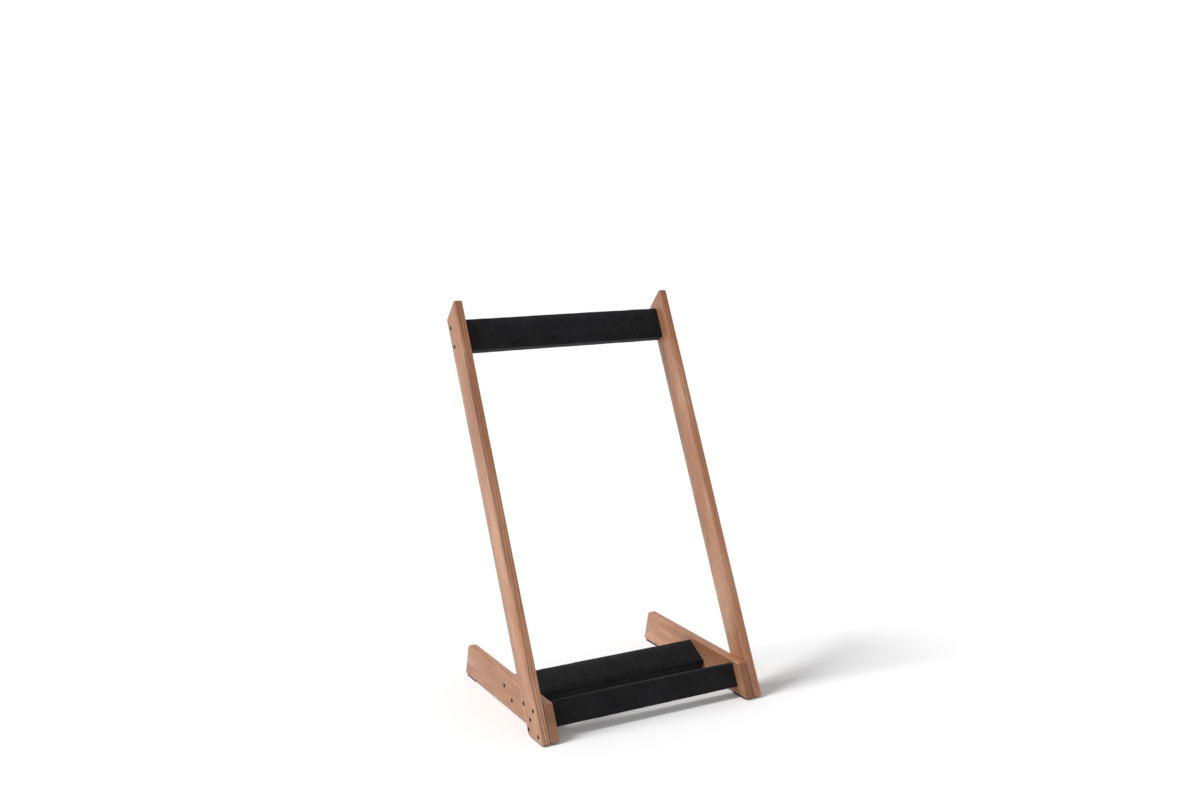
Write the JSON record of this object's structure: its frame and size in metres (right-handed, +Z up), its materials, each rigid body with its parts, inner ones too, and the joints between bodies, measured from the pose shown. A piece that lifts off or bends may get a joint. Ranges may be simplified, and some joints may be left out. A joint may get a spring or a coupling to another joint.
{
  "type": "guitar case rack",
  "caption": "Free-standing wooden rack with leaning uprights, two feet and cloth-covered padded rails that hold guitar cases upright side by side.",
  "frame": {"origin": "centre of the footprint, on the floor under the rubber pads", "axes": "+X across the rack to the viewer's right, +Y from the front rail to the back, +Z up"},
  "size_m": [0.457, 0.3881, 0.7301],
  "materials": {
    "hardwood": "satin reddish-brown hardwood",
    "core_wood": "unfinished softwood, under the cloth",
    "dowel_wood": "unfinished beech",
    "foam": "thin foam sheet",
    "rail_cloth": "black short-pile cloth",
    "screw_metal": "dark bronze, satin",
    "staple_steel": "zinc-plated",
    "pad_rubber": "matte black"
  },
  "bodies": {
    "root": {"left_upright": "hardwood", "right_upright": "hardwood", "left_foot": "hardwood", "right_foot": "hardwood", "top_rail_core": "core_wood", "top_rail_foam": "foam", "top_rail_cover": "rail_cloth", "top_rail_staples": "staple_steel", "front_rail_core": "core_wood", "front_rail_foam": "foam", "front_rail_cover": "rail_cloth", "front_rail_staples": "staple_steel", "rear_rail_core": "core_wood", "rear_rail_foam": "foam", "rear_rail_cover": "rail_cloth", "rear_rail_staples": "staple_steel", "left_joint_screws": "screw_metal", "right_joint_screws": "screw_metal", "left_top_rail_screws": "screw_metal", "right_top_rail_screws": "screw_metal", "left_front_rail_screw": "screw_metal", "right_front_rail_screw": "screw_metal", "left_rear_rail_screws": "screw_metal", "right_rear_rail_screws": "screw_metal", "left_front_rail_dowels": "dowel_wood", "right_front_rail_dowels": "dowel_wood", "left_front_pad": "pad_rubber", "left_rear_pad": "pad_rubber", "right_front_pad": "pad_rubber", "right_rear_pad": "pad_rubber"}
  },
  "joints": []
}
